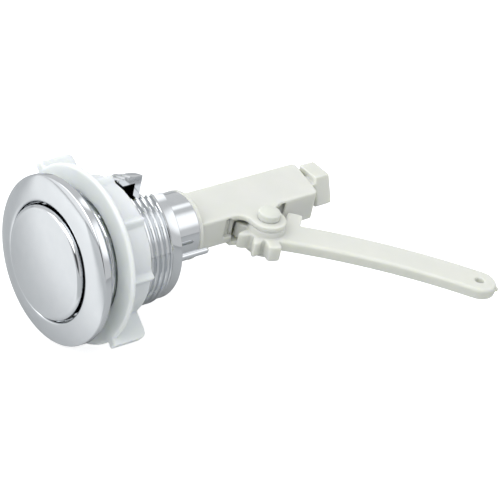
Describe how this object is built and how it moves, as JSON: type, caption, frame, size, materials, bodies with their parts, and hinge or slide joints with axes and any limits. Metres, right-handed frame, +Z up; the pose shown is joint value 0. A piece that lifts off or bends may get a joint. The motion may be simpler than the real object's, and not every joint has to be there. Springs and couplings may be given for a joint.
{
  "type": "push button cistern actuator",
  "caption": "Round chrome push button on a threaded barrel with a winged lock nut; a rack behind it turns a geared lever that lifts a cistern's flush valve.",
  "frame": {"origin": "on the button's axis, in the plane of the bezel's back, which seats on the tank wall", "axes": "+Y along the button's axis into the tank, the way the button is pushed; +Z up along the pivot pin towards its head; +X from the arm towards the lever"},
  "size_m": [0.0925, 0.1214, 0.0532],
  "materials": {
    "chrome_plated_abs": "bright chrome plating on moulded ABS",
    "white_polypropylene": "moulded, soft gloss",
    "ivory_acetal": "moulded, satin",
    "white_acetal": "moulded, satin",
    "spring_steel": "drawn stainless wire"
  },
  "bodies": {
    "housing": {"housing": "chrome_plated_abs", "return_spring": "spring_steel", "rack_guide": "ivory_acetal", "pivot_pin": "white_acetal"},
    "button": {"push_button": "chrome_plated_abs", "rack": "ivory_acetal"},
    "lever": {"lever_gear": "ivory_acetal"},
    "nut": {"lock_nut": "white_polypropylene"}
  },
  "joints": [
    {"name": "button_press", "type": "slide", "parent": "housing", "child": "button", "axis": [0, 1, 0], "range_m": [0, 0.006], "stiffness_N_per_m": 400, "springref_m": -0.01, "deforming": ["return_spring"]},
    {"name": "lever_swing", "type": "hinge", "parent": "housing", "child": "lever", "pos_m": [0.0131, 0.065, 0], "axis": [0, 0, 1], "range_deg": [-46, 0]},
    {"name": "nut_turn", "type": "hinge", "parent": "housing", "child": "nut", "pos_m": [0, 0.01055, 0], "axis": [0, 1, 0], "continuous": true}
  ],
  "couplings": [
    {"joint": "lever_swing", "follows": "button_press", "rad_per_m": -131.58}
  ]
}
